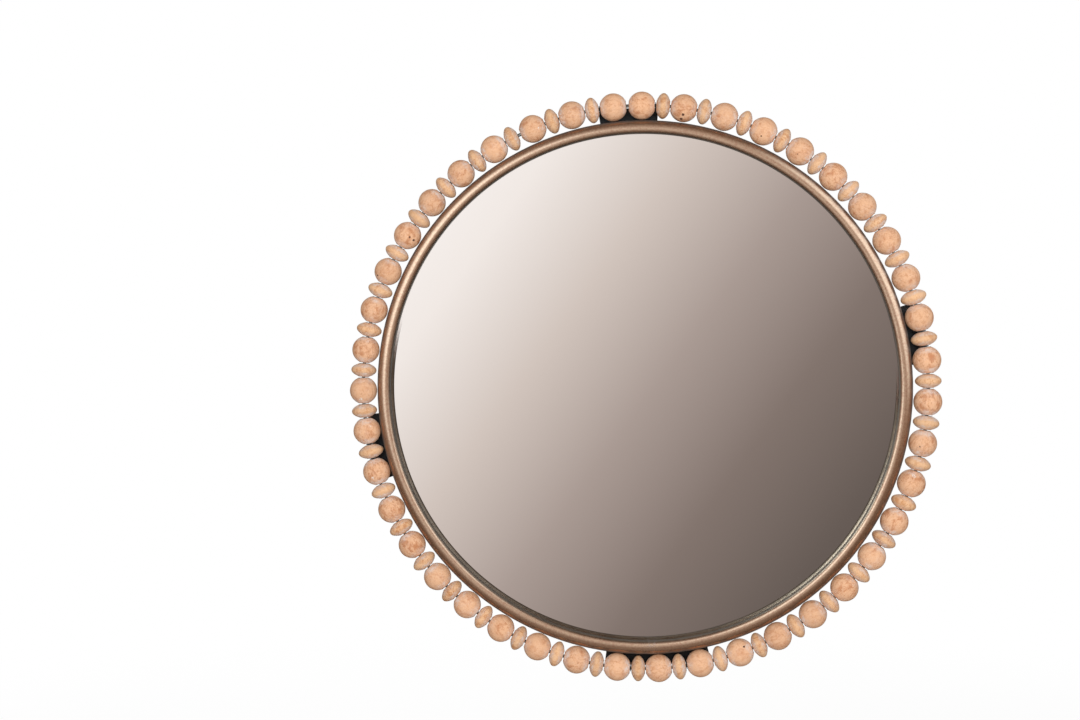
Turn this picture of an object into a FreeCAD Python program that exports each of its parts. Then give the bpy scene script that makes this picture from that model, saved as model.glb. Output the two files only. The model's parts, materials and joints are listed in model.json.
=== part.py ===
import FreeCAD, Part
import math
import os

# A round wall mirror. A rolled tube rings the glass, and a wire hoop outside it carries turned
# wooden beads, balls and flatter discs by turns. Four plates behind the beads join hoop and frame.
# Millimetres. +Z is up, the mirror faces -Y and the wall is the plane y = 0. The origin is the
# ring's centre on the wall. Angles run clockwise from the top, as seen from the front.

# Frame tube, rolled and welded into a ring
tube_circle_radius = 268.2
tube_diameter = 14.0
tube_wall = 1.2

# Rear band, a flat steel strip welded on edge behind the tube
band_wall = 1.2
band_offset = 0.5
band_edge_recess = 0.3

# Glass, the foam strip in front of it and the board behind it
glass_thickness = 3.0
glass_edge_bevel = 0.5
strip_thickness = 2.0
strip_width = 3.6
board_thickness = 7.0
rebate_depth = 1.5
rebate_width = 13.0

# Tabs of the band that hold the board in
tab_count = 8
tab_length = 11.0
tab_width = 12.0
tab_thickness = 1.2
tab_corner = 2.0
first_tab_angle = 22.5

# Keyhole hangers let into the board
hanger_spacing = 300.0
hanger_length = 44.0
hanger_width = 16.0
hanger_thickness = 1.5
entry_diameter = 10.0
entry_drop = 3.0
slot_width = 5.0
slot_rise = 9.5
pocket_depth = 5.0
pocket_margin = 1.2

# Hanger screws
screw_spacing = 33.0
screw_length = 5.0
screw_diameter = 3.0
screw_head_diameter = 6.6
screw_head_height = 1.3
screw_recess_length = 3.4
screw_recess_width = 0.7
screw_recess_depth = 0.8

# Wire hoop and the beads on it
wire_diameter = 3.4
ball_diameter = 28.6
ball_flat_diameter = 10.0
disc_diameter = 26.4
disc_length = 14.0
disc_flat_diameter = 9.5
mouth_chamfer = 0.5

# Outline of a disc's flank and rim, as shares of its half length and of its radius
flank_length_share = 0.73
flank_radius_share = 0.70
rim_length_share = 0.26
rim_radius_share = 0.965

# Places of the beads: the bare stretches of wire, and how the right half packs more tightly
double_ball_angle = -2.8
double_ball_gap = 2.6
wide_gap = 3.3
wide_gap_bead_count = 5
least_gap = 0.5
tight_side_share = 0.6

# Plates that carry the hoop, each with two fins that the wire passes through
plate_thickness = 2.0
fin_thickness = 0.8
fin_foot = 9.0
fin_eye_radius = 3.4
top_reach = (2.0, 2.6)
right_reach = (29.8, 18.5)
bottom_reach = (25.1, 27.5)
left_reach = (25.1, 30.8)
top_bead_count = 2
right_bead_count = 1
bottom_bead_count = 3
left_bead_count = 1
right_place_share = 0.225
bottom_place_share = 0.485
left_place_share = 0.72

# Clearances
seat_clearance = 0.1
weld_clearance = 0.05
glass_clearance = 0.8
board_clearance = 0.6
strip_clearance = 0.2
pocket_clearance = 0.15
hanger_rim_clearance = 34.0
screw_clearance = 0.05
ball_tube_clearance = 0.8
ball_plate_clearance = 0.7
bead_clearance = 0.45
fin_clearance = 0.35
fin_hole_clearance = 0.1
overrun = 1.0

# Depths in front of the wall, and radii that follow from the pieces
tube_radius = tube_diameter / 2
glass_rear = board_thickness + seat_clearance
glass_front = glass_rear + glass_thickness
tube_rear = glass_front + strip_thickness + seat_clearance
tube_depth = tube_rear + tube_radius
band_inner = tube_circle_radius + band_offset
band_outer = band_inner + band_wall
board_radius = band_inner - board_clearance
hanger_reach = board_radius - hanger_rim_clearance
hanger_side = (hanger_spacing + hanger_width) / 2
hanger_height = math.sqrt(hanger_reach ** 2 - hanger_side ** 2) - hanger_length / 2
ball_radius = ball_diameter / 2
ball_length = math.sqrt(ball_diameter ** 2 - ball_flat_diameter ** 2)
disc_radius = disc_diameter / 2
wire_radius = wire_diameter / 2
hoop_radius = tube_circle_radius + tube_radius + ball_tube_clearance + ball_radius
hoop_depth = tube_depth
plate_front = hoop_depth - ball_radius - ball_plate_clearance
plate_rear = plate_front - plate_thickness
fin_gap = fin_thickness + 2 * fin_clearance
full_turn = 360.0

centre = FreeCAD.Vector(0, 0, 0)
forward = FreeCAD.Vector(0, -1, 0)
rearward = FreeCAD.Vector(0, 1, 0)
along_wire = FreeCAD.Vector(1, 0, 0)


def span(length):
    """Degrees of the hoop that a bead of this length takes."""
    return 2 * math.degrees(math.atan(length / 2 / hoop_radius))


def arc(length):
    """Degrees of the hoop that a length of bare wire takes."""
    return math.degrees(length / hoop_radius)


def wire_bow(length):
    """How far the wire bends away from a straight line over this length."""
    return hoop_radius * (1 - math.cos(math.radians(span(length) / 2)))


def fit_beads():
    """Number of ball and disc pairs that the hoop takes beside its one extra ball."""
    taken = span(ball_length) + arc(double_ball_gap + wide_gap + 2 * len(bracket_names) * fin_gap)
    pair = span(ball_length) + span(disc_length) + 2 * arc(least_gap)
    return int((full_turn - taken) / pair)


bracket_names = ("top", "right", "bottom", "left")
bead_count = 2 * fit_beads() + 1
bead_lengths = [disc_length if i % 2 else ball_length for i in range(bead_count)]

# Each plate's first bead between its fins, how many it has there, and how far it reaches past them
brackets = {
    "top": (bead_count - 1, top_bead_count, top_reach),
    "right": (int(bead_count * right_place_share), right_bead_count, right_reach),
    "bottom": (int(bead_count * bottom_place_share), bottom_bead_count, bottom_reach),
    "left": (int(bead_count * left_place_share), left_bead_count, left_reach),
}


def fin_places(name):
    """The two gaps that hold a plate's fins; gap i follows bead i."""
    first, straddled = brackets[name][:2]
    return (first - 1) % bead_count, (first + straddled - 1) % bead_count


def gap_lengths():
    """Bare wire after each bead: gaps with a reason of their own, then the rest shares the slack."""
    gaps = {bead_count - 1: double_ball_gap, bead_count - 1 - wide_gap_bead_count: wide_gap}
    for name in bracket_names:
        for place in fin_places(name):
            gaps[place] = fin_gap
    plain = [i for i in range(bead_count) if i not in gaps]
    taken = sum(span(length) for length in bead_lengths) + arc(sum(gaps.values()))
    slack = math.radians(full_turn - taken) * hoop_radius
    shares = {i: tight_side_share if i < bead_count / 2 else 1 for i in plain}
    spare = slack - least_gap * len(plain)
    for i in plain:
        gaps[i] = least_gap + spare * shares[i] / sum(shares.values())
    return [gaps[i] for i in range(bead_count)]


def place_beads():
    """Angles of the beads and of the gaps after them."""
    beads = []
    gaps = []
    at = double_ball_angle + arc(double_ball_gap) / 2
    for length, gap in zip(bead_lengths, gap_lengths()):
        beads.append(at + span(length) / 2)
        gaps.append(at + span(length) + arc(gap) / 2)
        at += span(length) + arc(gap)
    return beads, gaps


bead_angles, gap_angles = place_beads()
bore_radius = wire_radius + wire_bow(ball_length) / 2 + bead_clearance


def turned(shape, angle):
    """The shape, made at the top of the ring, at its angle."""
    copy = shape.copy()
    copy.rotate(centre, rearward, angle)
    return copy


def rod(radius, rear_depth, length):
    """Cylinder about the ring's axis that rises forward from a depth."""
    return Part.makeCylinder(radius, length, FreeCAD.Vector(0, -rear_depth, 0), forward)


def flat_ring(inner, outer, rear_depth, thickness):
    body = rod(outer, rear_depth, thickness)
    return body.cut(rod(inner, rear_depth - overrun, thickness + 2 * overrun))


def stadium(width, top, bottom, rear_depth, thickness):
    """Upright plate with round ends whose centres are at two heights."""
    radius = width / 2
    ends = [Part.makeCylinder(radius, thickness, FreeCAD.Vector(0, -rear_depth, z), forward)
            for z in (top, bottom)]
    middle = Part.makeBox(width, thickness, top - bottom,
                          FreeCAD.Vector(-radius, -rear_depth - thickness, bottom))
    return middle.fuse(ends).removeSplitter()


def frame_tube():
    outside = Part.makeTorus(tube_circle_radius, tube_radius, centre, rearward)
    inside = Part.makeTorus(tube_circle_radius, tube_radius - tube_wall, centre, rearward)
    tube = outside.cut(inside)
    tube.translate(forward * tube_depth)
    return tube


def rear_band():
    return flat_ring(band_inner, band_outer, band_edge_recess,
                     tube_rear - weld_clearance - band_edge_recess)


def board_tabs():
    """Tabs bent in from the band over the board's rebated rim."""
    outer = band_inner - weld_clearance
    rear_depth = rebate_depth - weld_clearance - tab_thickness
    tab = Part.makeBox(tab_width, tab_thickness, tab_length,
                       FreeCAD.Vector(-tab_width / 2, -rear_depth - tab_thickness, outer - tab_length))
    inner_edges = [edge for edge in tab.Edges if edge.BoundBox.ZMax < outer - tab_length / 2
                   and edge.BoundBox.YLength > tab_thickness / 2]
    tab = tab.makeFillet(tab_corner, inner_edges)
    tab = tab.common(rod(outer, 0, board_thickness))
    return Part.makeCompound([turned(tab, first_tab_angle + i * full_turn / tab_count)
                              for i in range(tab_count)])


def mirror_glass():
    glass = rod(band_inner - glass_clearance, glass_rear, glass_thickness)
    rims = [edge for edge in glass.Edges if len(edge.Vertexes) == 1]
    return glass.makeChamfer(glass_edge_bevel, rims)


def glazing_strip():
    outer = band_inner - strip_clearance
    return flat_ring(outer - strip_width, outer, glass_front, strip_thickness)


def hanger_sides():
    return (-hanger_spacing / 2, hanger_spacing / 2)


def at_hanger(shape, x):
    copy = shape.copy()
    copy.translate(FreeCAD.Vector(x, 0, hanger_height))
    return copy


def keyhole(margin, rear_depth, depth):
    """Round entry with a narrower slot above it, both grown by a margin."""
    entry = Part.makeCylinder(entry_diameter / 2 + margin, depth,
                              FreeCAD.Vector(0, -rear_depth, -entry_drop), forward)
    slot = stadium(slot_width + 2 * margin, slot_rise - entry_drop, -entry_drop, rear_depth, depth)
    return entry.fuse(slot).removeSplitter()


def head_pocket(depth):
    """Room in the board for a screw's head, all the way up the slot."""
    return stadium(entry_diameter + 2 * pocket_margin, slot_rise - entry_drop, -entry_drop, 0, depth)


def screw_heights():
    return (-screw_spacing / 2, screw_spacing / 2)


def screw_body(z, grow):
    """Countersunk screw, its head flush with the hanger's rear face."""
    rear = seat_clearance
    place = FreeCAD.Vector(0, -rear, z)
    head = Part.makeCone(screw_head_diameter / 2 + grow, screw_diameter / 2 + grow,
                         screw_head_height, place, forward)
    shank = Part.makeCylinder(screw_diameter / 2 + grow, screw_length + grow, place, forward)
    return head.fuse(shank).removeSplitter()


def hanger_plates():
    middle = (hanger_length - hanger_width) / 2
    plate = stadium(hanger_width, middle, -middle, seat_clearance, hanger_thickness)
    plate = plate.cut(keyhole(0, seat_clearance - overrun, hanger_thickness + 2 * overrun))
    for z in screw_heights():
        plate = plate.cut(screw_body(z, screw_clearance))
    return Part.makeCompound([at_hanger(plate, x) for x in hanger_sides()])


def hanger_screws():
    screws = []
    for z in screw_heights():
        screw = screw_body(z, 0)
        for length, width in ((screw_recess_length, screw_recess_width),
                              (screw_recess_width, screw_recess_length)):
            corner = FreeCAD.Vector(-length / 2, -seat_clearance - screw_recess_depth, z - width / 2)
            screw = screw.cut(Part.makeBox(length, screw_recess_depth + overrun, width, corner))
        screws.extend(at_hanger(screw, x) for x in hanger_sides())
    return Part.makeCompound(screws)


def backing_board():
    board = rod(board_radius, 0, board_thickness)
    board = board.cut(flat_ring(board_radius - rebate_width, board_radius + overrun,
                                -overrun, rebate_depth + overrun))
    middle = (hanger_length - hanger_width) / 2
    seat_depth = hanger_thickness + 2 * seat_clearance
    seat = stadium(hanger_width + 2 * pocket_clearance, middle, -middle, -overrun, seat_depth + overrun)
    for x in hanger_sides():
        board = board.cut(at_hanger(seat, x))
        board = board.cut(at_hanger(head_pocket(pocket_depth), x))
        for z in screw_heights():
            board = board.cut(at_hanger(screw_body(z, screw_clearance), x))
    return board


def bead_hoop():
    return Part.makeTorus(hoop_radius, wire_radius, forward * hoop_depth, rearward)


def bead(length, flat_radius, outer_points):
    """Turned bead at the top of the hoop, its axis along the wire and midway on the wire's bow.

    outer_points lead from one end's flat to the other in threes, each an arc's start, middle and end.
    """
    seat = hoop_radius - wire_bow(length) / 2
    half = length / 2
    mouth = bore_radius + mouth_chamfer

    def point(along, out):
        return FreeCAD.Vector(along, -hoop_depth, seat + out)

    corners = [point(-half, flat_radius), point(-half, mouth),
               point(mouth_chamfer - half, bore_radius), point(half - mouth_chamfer, bore_radius),
               point(half, mouth), point(half, flat_radius)]
    edges = [Part.LineSegment(a, b).toShape() for a, b in zip(corners, corners[1:])]
    edges += [Part.Arc(*[point(*p) for p in three]).toShape() for three in outer_points]
    outline = Part.Face(Part.Wire(edges))
    return outline.revolve(point(0, 0), along_wire, full_turn)


def ball():
    half = ball_length / 2
    flat = ball_flat_diameter / 2
    return bead(ball_length, flat, [((half, flat), (0, ball_radius), (-half, flat))])


def disc():
    half = disc_length / 2
    flat = disc_flat_diameter / 2
    end = (half, flat)
    flank = (half * flank_length_share, disc_radius * flank_radius_share)
    rim = (half * rim_length_share, disc_radius * rim_radius_share)
    crown = (0, disc_radius)
    far_end, far_flank, far_rim = [(-x, r) for x, r in (end, flank, rim)]
    return bead(disc_length, flat, [(end, flank, rim), (rim, crown, far_rim),
                                    (far_rim, far_flank, far_end)])


def fin():
    """Fin at the top of the hoop: from the plate forward to a round eye about the wire."""
    def point(depth, radius):
        return FreeCAD.Vector(-fin_thickness / 2, -depth, radius)

    foot_inner = point(plate_front, hoop_radius - fin_foot)
    foot_outer = point(plate_front, hoop_radius)
    eye_outer = point(hoop_depth, hoop_radius + fin_eye_radius)
    eye_front = point(hoop_depth + fin_eye_radius, hoop_radius)
    eye_inner = point(hoop_depth, hoop_radius - fin_eye_radius)
    edges = [Part.LineSegment(foot_inner, foot_outer).toShape(),
             Part.LineSegment(foot_outer, eye_outer).toShape(),
             Part.Arc(eye_outer, eye_front, eye_inner).toShape(),
             Part.LineSegment(eye_inner, foot_inner).toShape()]
    sheet = Part.Face(Part.Wire(edges)).extrude(along_wire * fin_thickness)
    hole = Part.makeCylinder(wire_radius + fin_hole_clearance, fin_thickness + 2 * overrun,
                             FreeCAD.Vector(-fin_thickness / 2 - overrun, -hoop_depth, hoop_radius),
                             along_wire)
    return sheet.cut(hole)


def bracket(name):
    """Plate behind the beads, welded to the band's outside, with its two fins folded forward."""
    first, last = [gap_angles[place] for place in fin_places(name)]
    if last < first:
        first -= full_turn
    before, after = brackets[name][2]
    start = first - arc(before)
    end = last + arc(after)
    inner = band_outer + weld_clearance
    corners = [FreeCAD.Vector(0, -depth, radius) for depth, radius in
               ((plate_rear, inner), (plate_rear, hoop_radius), (plate_front, hoop_radius),
                (plate_front, inner), (plate_rear, inner))]
    section = Part.Face(Part.makePolygon(corners))
    plate = turned(section.revolve(centre, rearward, end - start), start)
    return plate.fuse([turned(fin(), angle) for angle in (first, last)]).removeSplitter()


def save(shape, node):
    shape.exportStep("parts/" + node + ".step")


def build():
    os.makedirs("parts", exist_ok=True)
    for piece in (frame_tube, rear_band, board_tabs, glazing_strip, mirror_glass, backing_board,
                  hanger_plates, hanger_screws, bead_hoop):
        save(piece(), piece.__name__)
    for name in bracket_names:
        save(bracket(name), "bracket_" + name)
    ball_angles = bead_angles[0::2]
    disc_angles = bead_angles[1::2]
    for i, angle in enumerate(ball_angles):
        save(turned(ball(), angle), "ball_%02d" % (i + 1))
    right = [angle for angle in disc_angles if angle < full_turn / 2]
    left = [angle for angle in disc_angles if angle >= full_turn / 2]
    save(Part.makeCompound([turned(disc(), angle) for angle in right]), "discs_right")
    save(Part.makeCompound([turned(disc(), angle) for angle in left]), "discs_left")
    print("beads", bead_count, "hoop radius", round(hoop_radius, 3), "depth", round(hoop_depth, 3))


build()
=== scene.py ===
"""Looks of a round wall mirror, ringed by turned wooden beads on a wire hoop.

Metres. +Z is up, the mirror faces -Y and the wall is the plane y = 0. Angles run clockwise from
the top, as seen from the front. A bead's own axes are X along the wire, Y towards the wall and Z
away from the ring's centre.
"""
import json
import math
import random

import bmesh
import bpy
from bpy.props import FloatProperty, FloatVectorProperty, IntProperty, PointerProperty
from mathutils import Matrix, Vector


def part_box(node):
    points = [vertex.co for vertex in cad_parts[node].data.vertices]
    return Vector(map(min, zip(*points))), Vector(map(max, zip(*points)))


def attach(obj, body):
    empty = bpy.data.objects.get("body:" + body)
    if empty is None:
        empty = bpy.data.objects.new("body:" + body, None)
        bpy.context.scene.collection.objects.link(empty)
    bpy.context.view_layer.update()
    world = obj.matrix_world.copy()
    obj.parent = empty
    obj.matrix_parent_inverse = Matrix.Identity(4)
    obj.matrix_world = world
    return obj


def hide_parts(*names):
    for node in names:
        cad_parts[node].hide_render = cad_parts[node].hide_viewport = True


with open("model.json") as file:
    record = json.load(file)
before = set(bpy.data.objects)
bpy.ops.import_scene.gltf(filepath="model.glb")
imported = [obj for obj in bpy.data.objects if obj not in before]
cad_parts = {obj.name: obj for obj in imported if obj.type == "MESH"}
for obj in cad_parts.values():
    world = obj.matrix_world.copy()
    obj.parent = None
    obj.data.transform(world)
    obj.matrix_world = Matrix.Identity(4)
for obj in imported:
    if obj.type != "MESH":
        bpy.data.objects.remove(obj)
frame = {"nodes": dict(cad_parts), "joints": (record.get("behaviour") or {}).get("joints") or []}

bl_info = {
    "name": "Beaded mirror",
    "version": (1, 0, 0),
    "blender": (4, 5, 0),
    "location": "View3D > Sidebar > Beaded mirror",
    "description": "Dresses a round wall mirror that is ringed by threaded wooden beads",
    "category": "Object",
}

MM = 0.001
TURN = 2 * math.pi
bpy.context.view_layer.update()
SAME_POINT = 0.002 * MM


def seen(red, green, blue):
    """Linear colour of a tone that shows on screen as these levels from 0 to 255."""
    shares = (level / 255 for level in (red, green, blue))
    return tuple(s / 12.92 if s <= 0.04045 else ((s + 0.055) / 1.055) ** 2.4 for s in shares)


def solid(colour):
    return (*colour, 1.0)


# Sizes that the pieces take from the construction

def ring_angle(point):
    return math.atan2(point.x, point.z) % TURN


def outward(angle):
    return Vector((math.sin(angle), 0, math.cos(angle)))


def clockwise(angle):
    return Vector((math.cos(angle), 0, -math.sin(angle)))


def corners_of(node):
    return [vertex.co.copy() for vertex in frame["nodes"][node].data.vertices]


class RoundRing:
    """Circle radius, section radius and depth of a node that is a ring of round section."""

    def __init__(self, node):
        reach = [math.hypot(p.x, p.z) for p in corners_of(node)]
        low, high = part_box(node)
        self.circle = (max(reach) + min(reach)) / 2
        self.section = (max(reach) - min(reach)) / 2
        self.depth = -(low.y + high.y) / 2


class Turning:
    """Sizes of a turned bead, from its corners, its middle and its angle on the hoop."""

    def __init__(self, corners, middle, angle):
        axis = clockwise(angle)
        along = [(p - middle).dot(axis) for p in corners]
        out = [((p - middle) - a * axis).length for p, a in zip(corners, along)]
        self.half = max(along)
        self.radius = max(out)
        self.bore = min(out)
        self.flat = max(r for r, a in zip(out, along) if a > self.half - SAME_POINT)
        self.mouth = min(r for r, a in zip(out, along) if a > self.half - SAME_POINT)


def ball_places():
    """Body name, middle and angle of every ball, from its joint."""
    places = []
    for joint in frame["joints"]:
        middle = Vector(joint["pos_m"])
        places.append((joint["child"], middle, ring_angle(middle)))
    return places


def disc_places(node):
    """Middle and angle of each disc of a node, found as the runs between gaps in its angles."""
    corners = sorted(corners_of(node), key=ring_angle)
    runs = [[corners[0]]]
    for before, corner in zip(corners, corners[1:]):
        if ring_angle(corner) - ring_angle(before) > DISC_GAP:
            runs.append([])
        runs[-1].append(corner)
    places = []
    for run in runs:
        angle = (ring_angle(run[0]) + ring_angle(run[-1])) / 2
        out = [p.dot(outward(angle)) for p in run]
        middle = outward(angle) * (max(out) + min(out)) / 2
        middle.y = (max(p.y for p in run) + min(p.y for p in run)) / 2
        places.append((run, middle, angle))
    return places


DISC_GAP = math.radians(2.0)
TUBE = RoundRing("frame_tube")
HOOP = RoundRing("bead_hoop")
BALLS = ball_places()
BALL = Turning(corners_of(BALLS[0][0]), *BALLS[0][1:])
DISC = Turning(*disc_places("discs_right")[0])

# Outlines: a bead's radius is its largest one times (1 - (x / width)^2)^power
BALL_POWER = 0.5
DISC_POWER = 0.625
EDGE_EASING = 0.3 * MM

# Knots, specks and dabs of lime that single balls show, in the order of the balls: how far along
# the wire and how far out of the ring they lie, as shares of the ball's radius, and their size
KNOTS = {
    2: ((0.03, -0.58), 1.6 * MM),
    4: ((0.00, -0.50), 0.9 * MM),
    5: ((-0.05, -0.38), 0.6 * MM),
    13: ((0.25, -0.30), 0.7 * MM),
    14: ((0.22, 0.86), 1.1 * MM),
    20: ((-0.45, -0.47), 1.2 * MM),
    36: ((-0.55, 0.45), 1.0 * MM),
    37: ((0.02, -0.38), 1.1 * MM),
}
CRACKS = {
    2: ((-0.06, -0.86), 1.8 * MM),
    37: ((0.00, -0.70), 1.4 * MM),
}
LIME_DABS = {
    14: ((-0.61, -0.14), 2.2 * MM),
    31: ((-0.35, 0.20), 1.6 * MM),
    32: ((0.30, -0.45), 1.4 * MM),
    33: ((-0.62, 0.05), 2.0 * MM),
    41: ((0.45, -0.27), 1.2 * MM),
}
FAR_AWAY = Vector((1, 1, 1))

# Tones of single marks and worn places, and the painted shade on the tube's back
KNOT_TONE = seen(92, 58, 42)
DAB_TONE = seen(252, 246, 240)
FLECK_TONE = seen(120, 84, 58)
WELD_TONE = seen(214, 188, 170)
REAR_SHADE_TINT = seen(90, 78, 68)
SCUFF_REACH = 1.6

# Edges: from where shading is sharp, a bevel starts and faces count as one
SHARP_ANGLE = math.radians(32)
BEVEL_ANGLE = math.radians(35)
FLAT_ANGLE = math.radians(0.5)
BEVEL_SEGMENTS = 2
TUBE_SIDES = 48
WIRE_SIDES = 20


def tint(name, description, *levels):
    """Colour that a user may change, from the levels that it shows on screen."""
    return FloatVectorProperty(name=name, description=description, subtype="COLOR", size=3,
                               min=0, max=1, default=seen(*levels))


def length(name, description, default, **limits):
    return FloatProperty(name=name, description=description, unit="LENGTH", default=default,
                         **limits)


def angle_of(name, description, degrees):
    return FloatProperty(name=name, description=description, subtype="ANGLE",
                         default=math.radians(degrees))


def power(name, description, watts):
    return FloatProperty(name=name, description=description, unit="POWER", min=0, default=watts)


def count(name, description, default, **limits):
    return IntProperty(name=name, description=description, default=default, **limits)


class BeadSettings(bpy.types.PropertyGroup):
    """Turned beads."""

    ball_tone: tint("Ball tone", "Bare wood of the balls", 242, 190, 149)
    ball_streak: tint("Ball streak", "Warmer wood in the balls' blotches and grain", 200, 132, 88)
    disc_tone: tint("Disc tone", "Bare wood of the discs", 243, 195, 150)
    disc_streak: tint("Disc streak", "Warmer wood in the discs' grain", 204, 140, 90)
    lime: tint("Lime", "Limewash in the grain and round the bores", 238, 219, 208)
    # Painted shade: darkens each bead's flats and eased edges, standing in for the shade in the
    # crevice between neighbouring beads
    crevice_shade: tint("Crevice shade", "Painted shade where one bead rests on the next", 96, 78, 68)
    unevenness: length("Unevenness", "How far hand turning strays inwards from a true outline",
                       0.16 * MM, min=0, max=0.5 * MM)
    around: count("Facets around", "Facets round a bead", 56, min=12, max=128)
    rows: count("Rows", "Rows of a bead's outline", 36, min=8, max=96)
    seed: count("Seed", "Start of the draw of turns and grain", 7, min=0)


class RingSettings(bpy.types.PropertyGroup):
    """Frame tube, band and wire hoop."""

    bronze: tint("Bronze", "Rubbed face of the tube", 224, 181, 149)
    copper: tint("Copper", "Redder patches where the bronze is rubbed thin", 196, 138, 112)
    # Partly real patina and partly painted shade: laid on the tube's outer flank, inner limb and
    # back, where shade falls between the tube, the beads and the glass
    patina_and_shade: tint("Patina", "Darker bronze in the speckle and at the rims", 122, 103, 91)
    # Painted shade: greyed, less metallic bronze on the flank that turns towards the beads, for the
    # shade and the shaded beads it reflects there
    rim_shade: tint("Rim", "Greyed bronze where the tube turns towards the beads", 118, 108, 102)
    steel: tint("Steel", "Drawn wire of the hoop", 176, 172, 166)
    weld_angle: angle_of("Weld", "Where the tube's ends meet, clockwise from the top", 177.5)
    weld_width: length("Weld width", "Half width of the dressed weld", 5 * MM,
                       min=MM, max=20 * MM)
    weld_height: length("Weld height", "How far the dressed weld stands proud", 0.12 * MM,
                        min=0, max=MM)
    around: count("Facets around", "Facets round a ring", 600, min=90, max=1440)


class FittingSettings(bpy.types.PropertyGroup):
    """Brackets, glass, board and hangers."""

    paint: tint("Paint", "Matt black paint of the bracket plates", 24, 24, 25)
    board: tint("Board", "Face of the fibreboard", 160, 124, 88)
    zinc: tint("Zinc", "Plated hangers and screws", 205, 207, 208)
    silver: tint("Silver", "Tint of the silvered glass", 254, 254, 254)
    eased: length("Eased edges", "Radius on the edges of sheet metal", 0.25 * MM, min=0, max=MM)


class StudioSettings(bpy.types.PropertyGroup):
    """Camera, lamps and floor."""

    distance: length("Distance", "From the camera to the ring's centre", 1.449)
    azimuth: angle_of("Azimuth", "Camera's angle to the right of the mirror's face", 0.96)
    elevation: angle_of("Elevation", "Camera's angle above the mirror's centre", 2.45)
    pan: angle_of("Pan", "Turn of the camera to the left, off the ring's centre", 4.13)
    tilt: angle_of("Tilt", "Turn of the camera upwards, off the ring's centre", 1.14)
    lens: FloatProperty(
        name="Lens", description="Focal length on a 36 mm sensor", subtype="DISTANCE_CAMERA",
        default=46.6)
    ambience: FloatProperty(
        name="Ambience", description="Level of the light from all round", min=0, default=0.18)
    key_power: power("Key", "Large soft lamp above the camera", 48.0)
    rear_power: power("Rear", "Large soft lamp behind the mirror", 30.0)
    floor_drop: length("Floor", "From the ring's centre down to the floor", 0.75)


def settings():
    return bpy.context.scene.beaded_mirror


class MirrorSettings(bpy.types.PropertyGroup):
    """Everything that a user may change."""

    beads: PointerProperty(type=BeadSettings)
    rings: PointerProperty(type=RingSettings)
    fittings: PointerProperty(type=FittingSettings)
    studio: PointerProperty(type=StudioSettings)


# Node trees

SCALAR_RESULTS = ("LENGTH", "DISTANCE", "DOT_PRODUCT")


class Net:
    """Adds nodes to a tree. An input is a value or another node's output."""

    def __init__(self, tree):
        self.tree = tree

    def add(self, kind, inputs=None, **choices):
        node = self.tree.nodes.new(kind)
        for name, value in choices.items():
            setattr(node, name, value)
        self.feed(node, inputs or {})
        return node

    def feed(self, node, inputs):
        for key, value in inputs.items():
            if isinstance(value, bpy.types.NodeSocket):
                self.tree.links.new(value, node.inputs[key])
            else:
                node.inputs[key].default_value = value

    def calc(self, operation, *values):
        return self.add("ShaderNodeMath", dict(enumerate(values)), operation=operation).outputs[0]

    def plus(self, first, second):
        return self.calc("ADD", first, second)

    def minus(self, first, second):
        return self.calc("SUBTRACT", first, second)

    def over(self, first, second):
        return self.calc("DIVIDE", first, second)

    def product(self, *values):
        made = values[0]
        for value in values[1:]:
            made = self.calc("MULTIPLY", made, value)
        return made

    def vector(self, operation, *values):
        node = self.add("ShaderNodeVectorMath", dict(enumerate(values)), operation=operation)
        return node.outputs["Value" if operation in SCALAR_RESULTS else "Vector"]

    def joined(self, x=0.0, y=0.0, z=0.0):
        return self.add("ShaderNodeCombineXYZ", {0: x, 1: y, 2: z}).outputs[0]

    def grey(self, value):
        return self.joined(value, value, value)

    def parts(self, vector):
        return self.add("ShaderNodeSeparateXYZ", {0: vector}).outputs

    def noise(self, place, scale, detail=2.0, roughness=0.5, distortion=0.0):
        inputs = {"Vector": place, "Scale": scale, "Detail": detail, "Roughness": roughness,
                  "Distortion": distortion}
        return self.add("ShaderNodeTexNoise", inputs).outputs["Fac"]

    def step(self, value, start, end, low=0.0, high=1.0):
        """Rises smoothly from low to high while the value goes from start to end."""
        inputs = {"Value": value, "From Min": start, "From Max": end, "To Min": low, "To Max": high}
        return self.add("ShaderNodeMapRange", inputs, interpolation_type="SMOOTHSTEP").outputs[0]

    def mix(self, share, first, second, blend="MIX"):
        node = self.add("ShaderNodeMix", {0: share, 6: first, 7: second}, data_type="RGBA",
                        blend_type=blend)
        return node.outputs[2]

    def reach(self, x, z):
        """Distance from the ring's axis."""
        return self.calc("SQRT", self.plus(self.product(x, x), self.product(z, z)))

    def show(self, kind, output):
        """Shows an output as what the tree puts out."""
        self.tree.links.new(output, self.add(kind).inputs[0])

    def named(self, name, kind="FLOAT"):
        node = self.add("GeometryNodeInputNamedAttribute", {"Name": name}, data_type=kind)
        return node.outputs["Attribute"]


FLOAT = "NodeSocketFloat"
COUNT = "NodeSocketInt"
PLACE = "NodeSocketVector"
COLOUR = "NodeSocketColor"
SHAPE = "NodeSocketGeometry"
FINISH = "NodeSocketMaterial"


def new_group(name, kind, inputs, outputs):
    """Empty node group with its sockets, and the net, inputs and outputs to build it with."""
    tree = bpy.data.node_groups.new(name, kind)
    for side, sockets in (("INPUT", inputs), ("OUTPUT", outputs)):
        for label, socket in sockets.items():
            tree.interface.new_socket(name=label, in_out=side, socket_type=socket)
    net = Net(tree)
    given = net.add("NodeGroupInput").outputs
    result = net.add("NodeGroupOutput").inputs
    return tree, net, given, result


def connect(net, results):
    for socket, value in results.items():
        net.tree.links.new(value, socket)


# Geometry trees

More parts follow.
